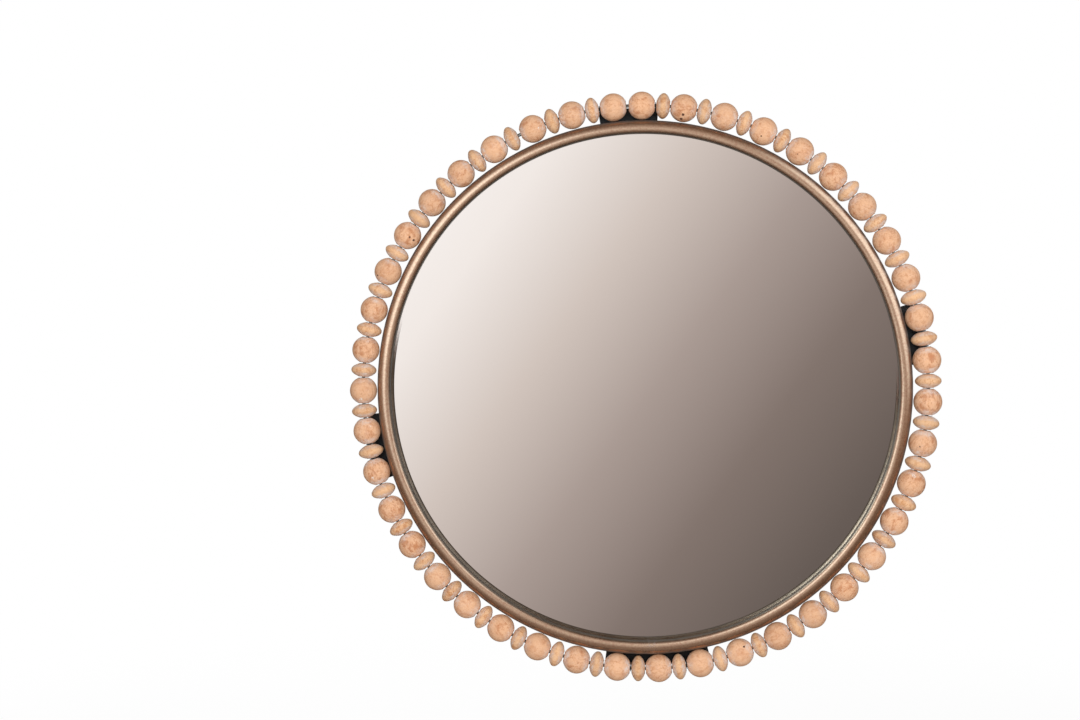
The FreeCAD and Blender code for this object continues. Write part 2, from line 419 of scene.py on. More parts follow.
def bead_tree():
    """Geometry Nodes that turn a bead's outline round its axis and thread one on each point."""
    tree, net, given, result = new_group("Threaded beads", "GeometryNodeTree", {
        "Geometry": SHAPE, "Radius": FLOAT, "Half Length": FLOAT, "Outline Width": FLOAT,
        "Outline Power": FLOAT, "Edge": FLOAT, "Bore": FLOAT, "Mouth": FLOAT, "Around": COUNT,
        "Rows": COUNT, "Unevenness": FLOAT, "Material": FINISH}, {"Geometry": SHAPE})
    half = given["Half Length"]
    edge = given["Edge"]
    bore = given["Bore"]
    mouth = given["Mouth"]
    rows = given["Rows"]
    last_row = net.minus(rows, 1.0)
    end = net.minus(half, edge)
    depth_of_mouth = net.minus(mouth, bore)

    def radius_at(along):
        share = net.over(along, given["Outline Width"])
        left = net.calc("MAXIMUM", net.minus(1.0, net.product(share, share)), 0.0)
        return net.product(given["Radius"], net.calc("POWER", left, given["Outline Power"]))

    flat = radius_at(end)
    flat_inside = net.minus(flat, edge)
    inner = net.minus(half, depth_of_mouth)
    back = [net.product(length, -1.0) for length in (inner, half, end)]
    corners = [(half, flat_inside), (half, mouth), (inner, bore), (back[0], bore),
               (back[1], mouth), (back[1], flat_inside), (back[2], flat)]
    grid = net.add("GeometryNodeMeshGrid", {
        "Size X": 1.0, "Size Y": 1.0, "Vertices X": net.plus(given["Around"], 1.0),
        "Vertices Y": net.plus(rows, float(len(corners)))})
    across = net.parts(net.add("GeometryNodeInputPosition").outputs[0])
    angle = net.product(net.plus(across[0], 0.5), TURN)
    row_count = net.plus(last_row, float(len(corners)))
    row = net.calc("ROUND", net.product(net.plus(across[1], 0.5), row_count))
    share = net.calc("MINIMUM", net.over(row, last_row), 1.0)
    sweep = net.calc("COSINE", net.product(share, math.pi))
    along = net.product(sweep, end, -1.0)
    switch = net.add("GeometryNodeIndexSwitch", data_type="VECTOR")
    while len(switch.index_switch_items) <= len(corners):
        switch.index_switch_items.new()
    outline = [(along, radius_at(along))] + corners
    for i, (x, r) in enumerate(outline):
        net.tree.links.new(net.joined(x, r), switch.inputs[i + 1])
    past = net.calc("MAXIMUM", net.minus(row, last_row), 0.0)
    net.tree.links.new(past, switch.inputs[0])
    chosen = net.parts(switch.outputs[0])
    turned_y = net.product(chosen[1], net.calc("SINE", angle), -1.0)
    turned_z = net.product(chosen[1], net.calc("COSINE", angle))
    shaped = net.add("GeometryNodeSetPosition", {
        "Geometry": grid.outputs["Mesh"], "Position": net.joined(chosen[0], turned_y, turned_z)})
    closed = net.add("GeometryNodeMergeByDistance", {"Geometry": shaped.outputs[0],
                                                     "Distance": SAME_POINT})
    turned = net.add("GeometryNodeStoreNamedAttribute", {
        "Geometry": closed.outputs[0], "Name": "turned",
        "Value": net.add("GeometryNodeInputPosition").outputs[0]}, data_type="FLOAT_VECTOR")
    seat = net.add("FunctionNodeEulerToRotation", {
        0: net.joined(net.named("spin"), net.named("angle"), 0.0)})
    threaded = net.add("GeometryNodeInstanceOnPoints", {
        "Points": given["Geometry"], "Instance": turned.outputs[0], "Rotation": seat.outputs[0]})
    real = net.add("GeometryNodeRealizeInstances", {"Geometry": threaded.outputs[0]})
    local = net.vector("ADD", net.named("turned", "FLOAT_VECTOR"),
                       net.joined(net.named("seed"), 0.0, 0.0))
    stray = net.product(net.noise(local, 90.0, 1.0), given["Unevenness"], -1.0)
    normal = net.add("GeometryNodeInputNormal").outputs[0]
    inwards = net.add("ShaderNodeVectorMath", {0: normal, "Scale": stray}, operation="SCALE")
    uneven = net.add("GeometryNodeSetPosition", {"Geometry": real.outputs[0],
                                                 "Offset": inwards.outputs[0]})
    finish_surface(net, uneven.outputs[0], given["Material"], result[0])
    return tree


def finish_surface(net, shape, finish, result):
    """Smooth shading but for sharp edges, and the finish."""
    sharp = net.calc("GREATER_THAN", net.add("GeometryNodeInputMeshEdgeAngle").outputs[0],
                     SHARP_ANGLE)
    smooth = net.add("GeometryNodeSetShadeSmooth", {"Geometry": shape, "Shade Smooth": True},
                     domain="FACE")
    creased = net.add("GeometryNodeSetShadeSmooth", {
        "Geometry": smooth.outputs[0], "Selection": sharp, "Shade Smooth": False}, domain="EDGE")
    made = net.add("GeometryNodeSetMaterial", {"Geometry": creased.outputs[0],
                                               "Material": finish})
    net.tree.links.new(made.outputs[0], result)


def weld_share(net, turn, circle, width):
    """1 at the weld, fading out with the distance along the ring."""
    chord = net.product(net.calc("SINE", net.product(turn, 0.5)), circle, 2.0)
    near = net.over(chord, width)
    return net.calc("EXPONENT", net.product(near, near, -1.0)), chord


def ring_tree():
    """Geometry Nodes that bend a round section into a ring, with a dressed weld."""
    tree, net, given, result = new_group("Rolled ring", "GeometryNodeTree", {
        "Geometry": SHAPE, "Circle": FLOAT, "Section": FLOAT, "Depth": FLOAT, "Around": COUNT,
        "Sides": COUNT, "Weld Angle": FLOAT, "Weld Width": FLOAT, "Weld Height": FLOAT,
        "Material": FINISH}, {"Geometry": SHAPE})
    grid = net.add("GeometryNodeMeshGrid", {
        "Size X": 1.0, "Size Y": 1.0, "Vertices X": net.plus(given["Around"], 1.0),
        "Vertices Y": net.plus(given["Sides"], 1.0)})
    across = net.parts(net.add("GeometryNodeInputPosition").outputs[0])
    angle = net.product(net.plus(across[0], 0.5), TURN)
    side = net.product(net.plus(across[1], 0.5), TURN)
    weld, chord = weld_share(net, net.minus(angle, given["Weld Angle"]),
                             given["Circle"], given["Weld Width"])
    rough_place = net.joined(chord, net.calc("COSINE", side))
    ripple = net.minus(net.noise(rough_place, 5.0, 3.0), 0.5)
    radius = net.plus(given["Section"], net.product(weld, ripple, given["Weld Height"]))
    out = net.plus(given["Circle"], net.product(radius, net.calc("COSINE", side)))
    rearward = net.minus(net.product(radius, net.calc("SINE", side)), given["Depth"])
    place = net.joined(net.product(out, net.calc("SINE", angle)), rearward,
                       net.product(out, net.calc("COSINE", angle)))
    shaped = net.add("GeometryNodeSetPosition", {"Geometry": grid.outputs["Mesh"],
                                                 "Position": place})
    closed = net.add("GeometryNodeMergeByDistance", {"Geometry": shaped.outputs[0],
                                                     "Distance": SAME_POINT})
    real = net.add("GeometryNodeRealizeInstances", {"Geometry": closed.outputs[0]})
    finish_surface(net, real.outputs[0], given["Material"], result[0])
    return tree


# Making pieces

def once(make):
    """What make() built the first time, so that the pieces share one tree or material."""
    if make.__name__ not in built:
        built[make.__name__] = make()
    return built[make.__name__]


built = {}


def new_piece(name, mesh):
    piece = bpy.data.objects.new(name, mesh)
    bpy.context.scene.collection.objects.link(piece)
    return piece


def grown(name, seedling, tree, values):
    """A piece whose plain mesh a geometry tree makes from a starting mesh and named values."""
    sprout = new_piece(name + "_start", seedling)
    modifier = sprout.modifiers.new(tree.name, "NODES")
    modifier.node_group = tree
    sockets = {item.name: item.identifier for item in tree.interface.items_tree
               if item.in_out == "INPUT"}
    for label, value in values.items():
        modifier[sockets[label]] = value
    evaluated = sprout.evaluated_get(bpy.context.evaluated_depsgraph_get())
    mesh = bpy.data.meshes.new_from_object(evaluated)
    mesh.name = name
    bpy.data.objects.remove(sprout)
    return new_piece(name, mesh)


def seat_points(places, spins, seeds):
    """A mesh with one vertex for each bead, and the attributes that its tree reads."""
    mesh = bpy.data.meshes.new("bead_places")
    mesh.from_pydata([middle for middle, angle in places], [], [])
    for name, values in (("angle", [angle for middle, angle in places]), ("spin", spins),
                         ("seed", seeds)):
        mesh.attributes.new(name, "FLOAT", "POINT").data.foreach_set("value", values)
    return mesh


def bead_values(sizes, power, width, finish):
    beads = settings().beads
    return {"Radius": sizes.radius, "Half Length": sizes.half, "Outline Width": width,
            "Outline Power": power, "Edge": EDGE_EASING, "Bore": sizes.bore,
            "Mouth": sizes.mouth, "Around": beads.around, "Rows": beads.rows,
            "Unevenness": beads.unevenness, "Material": finish}


def outline_width(sizes, power):
    """Width at which an outline of this power reaches the flat's radius at the bead's end."""
    return sizes.half / math.sqrt(1 - (sizes.flat / sizes.radius) ** (1 / power))


def drawn_mesh(name, draw):
    """A mesh that draw() makes with bmesh."""
    mesh = bpy.data.meshes.new(name)
    shape = bmesh.new()
    draw(shape)
    shape.to_mesh(mesh)
    shape.free()
    return mesh


def eased_copy(name, node, finish, width):
    """The node's own shape as a piece of its own, its sharp edges eased."""
    def copy_node(shape):
        shape.from_mesh(frame["nodes"][node].data)
        bmesh.ops.remove_doubles(shape, verts=shape.verts, dist=SAME_POINT)
        bmesh.ops.dissolve_limit(shape, angle_limit=FLAT_ANGLE, verts=shape.verts,
                                 edges=shape.edges)

    mesh = drawn_mesh(name, copy_node)
    mesh.materials.clear()
    mesh.materials.append(finish)
    mesh.shade_smooth()
    piece = new_piece(name, mesh)
    bevel = piece.modifiers.new("Eased edges", "BEVEL")
    bevel.width = width
    bevel.segments = BEVEL_SEGMENTS
    bevel.limit_method = "ANGLE"
    bevel.angle_limit = BEVEL_ANGLE
    bevel.harden_normals = True
    return piece


def place_piece(piece, body, slot, *nodes):
    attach(piece, body)
    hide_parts(*nodes)


def dress_node(node, finish):
    """A node of the construction that stays, with its finish."""
    shown = frame["nodes"][node]
    shown.data.materials.clear()
    shown.data.materials.append(finish)


# Shader groups

def object_place(net):
    return net.add("ShaderNodeTexCoord").outputs["Object"]


def attribute(net, name, output="Vector"):
    return net.add("ShaderNodeAttribute", attribute_name=name).outputs[output]


def in_mm(net, place):
    return net.vector("MULTIPLY", place, (1 / MM,) * 3)


def grain_group():
    """Mottled grain of a bead turned with its axis along the fibres, with lime left in it."""
    tree, net, given, result = new_group("Turned grain", "ShaderNodeTree", {
        "Place": PLACE, "Seed": FLOAT, "Wood": COLOUR, "Streak": COLOUR, "Lime": COLOUR,
        "Limed": FLOAT}, {"Color": COLOUR, "Roughness": FLOAT, "Height": FLOAT})
    shift = net.vector("MULTIPLY", (370.0, 610.0, 890.0),
                       net.grey(given["Seed"]))
    place = net.vector("ADD", given["Place"], shift)
    own = net.add("ShaderNodeTexWhiteNoise", {"W": given["Seed"]}, noise_dimensions="1D")
    warm, chalky, pale = net.parts(own.outputs["Color"])
    blotch = net.noise(net.vector("MULTIPLY", place, (0.10, 0.15, 0.15)), 1.0, 3.0, 0.6, 0.6)
    mottle = net.noise(net.vector("MULTIPLY", place, (0.30, 0.42, 0.42)), 1.0, 3.0, 0.7, 0.8)
    fibre = net.noise(net.vector("MULTIPLY", place, (0.45, 2.2, 2.2)), 1.0, 3.0, 0.65)
    pore = net.noise(net.vector("MULTIPLY", place, (0.6, 3.0, 3.0)), 1.0, 1.0, 0.5)
    film = net.noise(net.vector("ADD", place, (53.0, 0.0, 0.0)), 0.20, 4.0, 0.7, 0.5)
    warmth = net.calc("MULTIPLY_ADD", warm, 0.90, 0.55)
    streaked = net.plus(net.step(blotch, 0.46, 0.72, 0.0, 0.70),
                        net.step(mottle, 0.46, 0.72, 0.0, 0.65))
    streaked = net.plus(streaked, net.step(fibre, 0.46, 0.70, 0.0, 0.20))
    wood = net.mix(net.calc("MINIMUM", net.product(streaked, warmth), 1.0), given["Wood"],
                   given["Streak"])
    chalk = net.calc("MULTIPLY_ADD", chalky, 1.2, 0.35)
    filmed = net.product(net.step(film, 0.44, 0.60, 0.22, 1.15), given["Limed"], chalk)
    in_pores = net.product(net.step(pore, 0.54, 0.66), net.plus(given["Limed"], 0.15), 0.6)
    limed = net.calc("MINIMUM", net.plus(filmed, in_pores), 0.92)
    level = net.calc("MULTIPLY_ADD", pale, 0.10, 0.93)
    toned = net.vector("MULTIPLY", net.mix(limed, wood, given["Lime"]),
                       net.grey(level))
    roughness = net.plus(net.step(fibre, 0.3, 0.7, 0.60, 0.74),
                         net.product(limed, 0.12))
    height = net.minus(net.plus(net.product(fibre, 0.5),
                                net.product(mottle, 0.5)),
                       net.product(in_pores, 0.5))
    connect(net, {result["Color"]: toned, result["Roughness"]: roughness,
                  result["Height"]: height})
    return tree


def speckle_group():
    """Speckle of a worn or aged surface: a broad cloud broken up by fine grains."""
    tree, net, given, result = new_group("Speckle", "ShaderNodeTree", {
        "Place": PLACE, "Cloud Scale": FLOAT, "Grain Scale": FLOAT}, {"Mask": FLOAT,
                                                                      "Height": FLOAT})
    cloud = net.noise(given["Place"], given["Cloud Scale"], 3.0, 0.6)
    grains = net.noise(given["Place"], given["Grain Scale"], 3.0, 0.7)
    blend = net.plus(net.product(cloud, 0.45), net.product(grains, 0.55))
    connect(net, {result["Mask"]: net.step(blend, 0.40, 0.62), result["Height"]: grains})
    return tree


def drawn_group():
    """Fine lines that run round a ring, as rolling, drawing and polishing leave them."""
    tree, net, given, result = new_group("Drawn lines", "ShaderNodeTree", {
        "Place": PLACE, "Stretch": FLOAT, "Scale": FLOAT}, {"Mask": FLOAT})
    x, y, z = net.parts(given["Place"])
    out = net.reach(x, z)
    along_x = net.product(net.over(x, out), given["Stretch"])
    along_z = net.product(net.over(z, out), given["Stretch"])
    inputs = {"Vector": net.joined(along_x, net.product(out, given["Scale"]), along_z),
              "W": net.product(y, given["Scale"]), "Scale": 1.0, "Detail": 3.0,
              "Roughness": 0.6}
    lines = net.add("ShaderNodeTexNoise", inputs, noise_dimensions="4D").outputs["Fac"]
    connect(net, {result["Mask"]: net.step(lines, 0.32, 0.68)})
    return tree


def dust_group():
    """Dust that settles on what faces up, and a little of it everywhere."""
    tree, net, given, result = new_group("Settled dust", "ShaderNodeTree", {
        "Place": PLACE, "Amount": FLOAT}, {"Mask": FLOAT})
    facing = net.parts(net.add("ShaderNodeNewGeometry").outputs["Normal"])[2]
    lying = net.step(facing, -0.2, 1.0, 0.25, 1.0)
    flecks = net.step(net.noise(given["Place"], 900.0, 3.0, 0.7), 0.50, 0.75)
    drift = net.noise(given["Place"], 60.0, 2.0, 0.5)
    connect(net, {result["Mask"]: net.product(flecks, drift, lying, given["Amount"])})
    return tree


def spaced(inputs):
    return {key.replace("_", " "): value for key, value in inputs.items()}


def group_node(net, make, **inputs):
    node = net.add("ShaderNodeGroup", node_tree=once(make))
    net.feed(node, spaced(inputs))
    return node.outputs


# Materials

def new_material(name):
    material = bpy.data.materials.new(name)
    material.use_nodes = True
    net = Net(material.node_tree)
    shader = net.tree.nodes["Principled BSDF"]
    return material, net, shader


def surface(net, shader, **inputs):
    """Feeds the shader's sockets, named with _ for a space, from values or outputs."""
    net.feed(shader, spaced(inputs))


def relief(net, height, depth, strength=1.0):
    node = net.add("ShaderNodeBump", {"Height": height, "Distance": depth, "Strength": strength})
    return node.outputs["Normal"]


def share_along(net, place_mm, half):
    """How far towards a bead's end a place lies, from 0 at its middle to 1 at its flats."""
    x = net.calc("ABSOLUTE", net.parts(place_mm)[0])
    return net.over(x, half / MM)


def spot(net, place_mm, name, ragged):
    """1 within a mark whose place and size the mesh carries, 0 outside it."""
    centre = in_mm(net, attribute(net, name + "_place"))
    size = net.product(attribute(net, name + "_size", "Fac"), 1 / MM)
    off = net.vector("DISTANCE", place_mm, centre)
    frayed = net.plus(off, net.product(net.minus(ragged, 0.5), 1.6))
    return net.step(net.over(frayed, net.plus(size, 0.001)), 1.15, 0.65)


def limed_bead(name, half, tone, streak, ends, patch_scale, patches):
    """Material of a limed bead up to its grain; more lime lies where the share is past ends."""
    material, net, shader = new_material(name)
    place = in_mm(net, attribute(net, "turned"))
    seed = attribute(net, "seed", "Fac")
    share = share_along(net, place, half)
    patch = net.noise(net.vector("ADD", place, net.grey(seed)), patch_scale, 2.0)
    limed = net.product(net.step(share, *ends, 0.08, 1.0), net.step(patch, *patches, 1.0))
    grain = group_node(net, grain_group, Place=place, Seed=seed, Wood=solid(tone),
                       Streak=solid(streak), Lime=solid(settings().beads.lime), Limed=limed)
    return material, net, shader, place, share, grain


def finish_bead(net, shader, colour, share, shade_start, grain, height):
    """Paints shade on a bead's flats for the crevice where it rests on the next bead, and feeds its
    shader.
    """
    # Painted shade on the flats, for the crevice between neighbouring beads
    crevice_shaded = net.step(share, shade_start, 1.0, 0.0, 0.75)
    colour = net.mix(crevice_shaded, colour, solid(settings().beads.crevice_shade))
    surface(net, shader, Base_Color=colour, Roughness=grain["Roughness"],
            Normal=relief(net, height, 0.12 * MM))


def ball_wood():
    beads = settings().beads
    material, net, shader, place, share, grain = limed_bead(
        "Limed peach wood", BALL.half, beads.ball_tone, beads.ball_streak, (0.45, 0.92), 0.11,
        (0.30, 0.62, 0.45))
    ragged = net.noise(place, 0.9, 3.0, 0.6)
    knot = spot(net, place, "knot", ragged)
    crack = spot(net, place, "crack", ragged)
    dab = spot(net, place, "dab", ragged)
    hollow = net.product(dab, net.step(ragged, 0.55, 0.40))
    colour = net.mix(net.calc("MAXIMUM", knot, crack), grain["Color"], solid(KNOT_TONE))
    colour = net.mix(net.product(hollow, 0.9), colour, solid(DAB_TONE))
    height = net.minus(grain["Height"], net.product(knot, 1.2))
    finish_bead(net, shader, colour, share, 0.955, grain, height)
    return material


def disc_wood():
    beads = settings().beads
    material, net, shader, place, share, grain = limed_bead(
        "Limed honey wood", DISC.half, beads.disc_tone, beads.disc_streak, (0.22, 0.72), 0.16,
        (0.32, 0.62, 0.50))
    specks = net.add("ShaderNodeTexVoronoi", {"Vector": place, "Scale": 0.42})
    fleck = net.product(net.step(specks.outputs["Distance"], 0.16, 0.07),
                        net.step(net.parts(specks.outputs["Color"])[0], 0.72, 0.78))
    colour = net.mix(net.product(fleck, 0.7), grain["Color"], solid(FLECK_TONE))
    finish_bead(net, shader, colour, share, 0.94, grain, grain["Height"])
    return material


def aged_bronze():
    rings = settings().rings
    material, net, shader = new_material("Aged bronze")
    place = object_place(net)
    x, y, z = net.parts(place)
    out = net.reach(x, z)
    off = net.over(net.minus(out, TUBE.circle), TUBE.section)
    speckle = group_node(net, speckle_group, Place=place, Cloud_Scale=45.0, Grain_Scale=950.0)
    lines = group_node(net, drawn_group, Place=place, Stretch=14.0, Scale=2200.0)
    # Patina mixed with painted shade: the outer flank, the inner limb and the back get the darker
    # tone, and the aged share below carries both
    outside = net.step(off, 0.15, 0.80, 0.06, 1.0)
    inside = net.step(off, -0.60, -0.95, 0.0, 0.7)
    rearward = net.calc("MULTIPLY_ADD", y, 1 / TUBE.section, TUBE.depth / TUBE.section)
    behind = net.step(rearward, 0.10, 0.70)
    patina_and_shade_share = net.calc("MAXIMUM", net.plus(outside, inside), net.product(behind, 0.6))
    aged = net.product(patina_and_shade_share, net.step(speckle["Mask"], 0.0, 1.0, 0.7, 1.0))
    weld_turn = net.minus(net.calc("ARCTAN2", x, z), rings.weld_angle)
    weld = weld_share(net, weld_turn, TUBE.circle, rings.weld_width * SCUFF_REACH)[0]
    scuffed = net.product(weld, net.step(net.noise(place, 420.0, 4.0, 0.7), 0.46, 0.62))
    rubbed = net.step(net.noise(place, 420.0, 4.0, 0.75), 0.42, 0.64, 0.0, 0.6)
    colour = net.mix(rubbed, solid(rings.bronze), solid(rings.copper))
    colour = net.mix(aged, colour, solid(rings.patina_and_shade))
    # Painted shade: the flank towards the beads is greyed and made less metallic
    dulled = net.step(off, 0.45, 0.88)
    colour = net.mix(net.product(dulled, 0.9), colour, solid(rings.rim_shade))
    colour = net.mix(net.product(scuffed, 0.55), colour, solid(WELD_TONE))
    roughness = net.plus(net.step(lines["Mask"], 0.0, 1.0, 0.18, 0.25),
                         net.product(aged, 0.20))
    roughness = net.plus(roughness, net.product(scuffed, 0.15))
    height = net.plus(net.product(speckle["Height"], 0.5), net.product(lines["Mask"], 0.2))
    # Painted shade: the tube's back, which faces the glass, gets a dark specular tint that darkens
    # its reflections
    rear_shade_tint = net.mix(net.step(rearward, -0.15, 0.15), solid(WHITE), solid(REAR_SHADE_TINT))
    surface(net, shader, Base_Color=colour, Metallic=net.calc("MULTIPLY_ADD", dulled, -0.5, 1.0),
            Roughness=roughness, Specular_Tint=rear_shade_tint,
            Normal=relief(net, height, 0.02 * MM, 0.6), Alpha=limb_alpha(net, x, z, out))
    return material


def limb_alpha(net, x, z, out):
    """Clears the tube's very edge out of its own reflection, but for the lower ring's."""
    height = net.over(z, out)
    side = net.over(x, out)
    lean = net.plus(height, net.product(side, LIMB_SIDE))
    upper = net.step(lean, *LIMB_LEAN)
    facing = net.add("ShaderNodeLayerWeight", {"Blend": 0.5}).outputs["Facing"]
    limb = net.step(facing, *LIMB_FACING)
    mirrored = net.add("ShaderNodeLightPath").outputs["Is Glossy Ray"]
    return net.minus(1.0, net.product(mirrored, upper, limb))


LIMB_SIDE = 0.10
LIMB_LEAN = (-0.06, 0.20)
LIMB_FACING = (0.10, 0.25)


def drawn_wire():
    rings = settings().rings
    material, net, shader = new_material("Drawn wire")
    place = object_place(net)
    lines = group_node(net, drawn_group, Place=place, Stretch=30.0, Scale=3000.0)
    speckle = group_node(net, speckle_group, Place=place, Cloud_Scale=120.0, Grain_Scale=1400.0)
    colour = net.mix(net.product(speckle["Mask"], 0.5), solid(rings.steel),
                     solid(seen(120, 112, 104)))
    surface(net, shader, Base_Color=colour, Metallic=1.0,
            Roughness=net.step(lines["Mask"], 0.0, 1.0, 0.28, 0.46),
            Normal=relief(net, lines["Mask"], 0.03 * MM))
    return material


def black_paint():
    material, net, shader = new_material("Matt black paint")
    place = object_place(net)
    speckle = group_node(net, speckle_group, Place=place, Cloud_Scale=90.0, Grain_Scale=1500.0)
    dust = group_node(net, dust_group, Place=place, Amount=0.25)
    paint = net.mix(net.product(speckle["Mask"], 0.5), solid(settings().fittings.paint),
                    solid(seen(36, 35, 35)))
    colour = net.mix(dust["Mask"], paint, solid(seen(150, 140, 130)))
    surface(net, shader, Base_Color=colour,
            Roughness=net.step(speckle["Height"], 0.3, 0.7, 0.55, 0.72),
            Normal=relief(net, speckle["Height"], 0.03 * MM))
    return material


def silvered_glass():
    material, net, shader = new_material("Silvered glass")
    dust = group_node(net, dust_group, Place=object_place(net), Amount=0.05)
    colour = net.mix(dust["Mask"], solid(settings().fittings.silver), solid(seen(205, 200, 195)))
    surface(net, shader, Base_Color=colour, Metallic=net.minus(1.0, dust["Mask"]),
            Roughness=0.0)
    return material


def fibreboard():
    material, net, shader = new_material("Fibreboard")
    place = object_place(net)
    swirl = net.noise(place, 30.0, 3.0, 0.6)
    fibres = net.noise(net.vector("MULTIPLY", place, (1.0, 1.0, 2.6)), 520.0, 4.0, 0.7, 1.5)
    dark = net.noise(net.vector("MULTIPLY", place, (2.4, 1.0, 1.0)), 760.0, 2.0, 0.6, 2.0)
    dust = group_node(net, dust_group, Place=place, Amount=0.3)
    base = settings().fittings.board
    colour = net.mix(net.step(fibres, 0.40, 0.66, 0.0, 0.8), solid(base), solid(seen(132, 98, 66)))
    colour = net.mix(net.step(swirl, 0.35, 0.65, 0.0, 0.3), colour, solid(seen(176, 142, 104)))
    colour = net.mix(net.step(dark, 0.64, 0.72, 0.0, 0.6), colour, solid(seen(92, 66, 44)))
    colour = net.mix(dust["Mask"], colour, solid(seen(196, 186, 172)))
    surface(net, shader, Base_Color=colour, Roughness=net.step(fibres, 0.3, 0.7, 0.62, 0.82),
            Normal=relief(net, fibres, 0.05 * MM))
    return material


def zinc_plate():
    material, net, shader = new_material("Zinc plate")
    place = object_place(net)
    cells = net.add("ShaderNodeTexVoronoi", {"Vector": place, "Scale": 480.0})
    scratches = net.noise(net.vector("MULTIPLY", place, (9.0, 1.0, 1.0)), 260.0, 3.0, 0.6)
    tone = net.parts(cells.outputs["Color"])[0]
    speckle = group_node(net, speckle_group, Place=place, Cloud_Scale=160.0, Grain_Scale=1500.0)
    colour = net.mix(net.product(tone, 0.35), solid(settings().fittings.zinc),
                     solid(seen(160, 164, 168)))
    colour = net.mix(net.product(speckle["Mask"], 0.25), colour, solid(seen(120, 118, 112)))
    surface(net, shader, Base_Color=colour, Metallic=1.0,
            Roughness=net.step(scratches, 0.35, 0.65, 0.26, 0.42),
            Normal=relief(net, scratches, 0.02 * MM))
    return material


def cell_foam():
    material, net, shader = new_material("Closed-cell foam")
    place = object_place(net)
    cells = net.add("ShaderNodeTexVoronoi", {"Vector": place, "Scale": 2200.0})
    colour = net.mix(net.step(cells.outputs["Distance"], 0.2, 0.6), solid(seen(34, 34, 35)),
                     solid(seen(52, 52, 53)))
    speckle = group_node(net, speckle_group, Place=place, Cloud_Scale=200.0, Grain_Scale=2500.0)
    surface(net, shader, Base_Color=colour,
            Roughness=net.step(speckle["Height"], 0.3, 0.7, 0.82, 0.95),
            Normal=relief(net, cells.outputs["Distance"], 0.1 * MM))
    return material


# Operators, one for each group of like pieces

class PieceOperator:
    """What the operators share."""

    bl_options = {"REGISTER", "UNDO"}

    def execute(self, context):
        self.make()
        return {"FINISHED"}


def on_front(shares, spin):
    """Place on the front of a ball in its own axes, from shares along the wire and outwards."""
    along, out = (share * BALL.radius for share in shares)
    front = math.sqrt(max(BALL.radius ** 2 - along ** 2 - out ** 2, 0.0))
    across, up = -front, out
    return Vector((along, across * math.cos(spin) + up * math.sin(spin),
                   up * math.cos(spin) - across * math.sin(spin)))


def mark_ball(mesh, number, spin):
    """Writes the places and sizes of a ball's marks on its mesh."""
    for name, marks in (("knot", KNOTS), ("crack", CRACKS), ("dab", LIME_DABS)):
        place, size = FAR_AWAY, 0.0
        if number in marks:
            shares, size = marks[number]
            place = on_front(shares, spin)
        count = len(mesh.vertices)
        places = mesh.attributes.new(name + "_place", "FLOAT_VECTOR", "POINT")
        places.data.foreach_set("vector", list(place) * count)
        sizes = mesh.attributes.new(name + "_size", "FLOAT", "POINT")
        sizes.data.foreach_set("value", [size] * count)


class MIRROR_OT_balls(PieceOperator, bpy.types.Operator):
    """Turn the 43 balls and thread each on the hoop at its joint"""

    bl_idname = "beaded_mirror.balls"
    bl_label = "Balls"

    def make(self):
        finish = once(ball_wood)
        draw = random.Random(settings().beads.seed)
        values = bead_values(BALL, BALL_POWER, outline_width(BALL, BALL_POWER), finish)
        for number, (body, middle, angle) in enumerate(BALLS, 1):
            spin = draw.uniform(0, TURN)
            seed = draw.random()
            start = seat_points([(middle, angle)], [spin], [seed])
            piece = grown("turned_" + body, start, once(bead_tree), values)
            mark_ball(piece.data, number, spin)
            place_piece(piece, body, "ball_wood", body)


class MIRROR_OT_discs(PieceOperator, bpy.types.Operator):
    """Turn the discs that sit between the balls, one piece for each half of the ring"""

    bl_idname = "beaded_mirror.discs"
    bl_label = "Discs"

    def make(self):
        finish = once(disc_wood)
        draw = random.Random(settings().beads.seed + 1)
        values = bead_values(DISC, DISC_POWER, outline_width(DISC, DISC_POWER), finish)
        for node in ("discs_right", "discs_left"):
            places = [place[1:] for place in disc_places(node)]
            spins = [draw.uniform(0, TURN) for place in places]
            seeds = [draw.random() for place in places]
            start = seat_points(places, spins, seeds)
            piece = grown("turned_" + node, start, once(bead_tree), values)
            place_piece(piece, "frame", "disc_wood", node)


class MIRROR_OT_frame_tube(PieceOperator, bpy.types.Operator):
    """Roll the bronze tube that rings the glass, with its dressed weld at the bottom"""

    bl_idname = "beaded_mirror.frame_tube"
    bl_label = "Frame tube"

    def make(self):
        rings = settings().rings
        piece = grown("rolled_tube", bpy.data.meshes.new("tube_start"), once(ring_tree), {
            "Circle": TUBE.circle, "Section": TUBE.section, "Depth": TUBE.depth,
            "Around": rings.around, "Sides": TUBE_SIDES, "Weld Angle": rings.weld_angle,
            "Weld Width": rings.weld_width, "Weld Height": rings.weld_height,
            "Material": once(aged_bronze)})
        place_piece(piece, "frame", "aged_bronze", "frame_tube")


class MIRROR_OT_hoop(PieceOperator, bpy.types.Operator):
    """Bend the wire hoop that carries the beads"""

    bl_idname = "beaded_mirror.hoop"
    bl_label = "Wire hoop"

    def make(self):
        rings = settings().rings
        piece = grown("bent_wire", bpy.data.meshes.new("wire_start"), once(ring_tree), {
            "Circle": HOOP.circle, "Section": HOOP.section, "Depth": HOOP.depth,
            "Around": rings.around, "Sides": WIRE_SIDES, "Weld Angle": 0.0,
            "Weld Width": rings.weld_width, "Weld Height": 0.0, "Material": once(drawn_wire)})
        place_piece(piece, "frame", "wire", "bead_hoop")


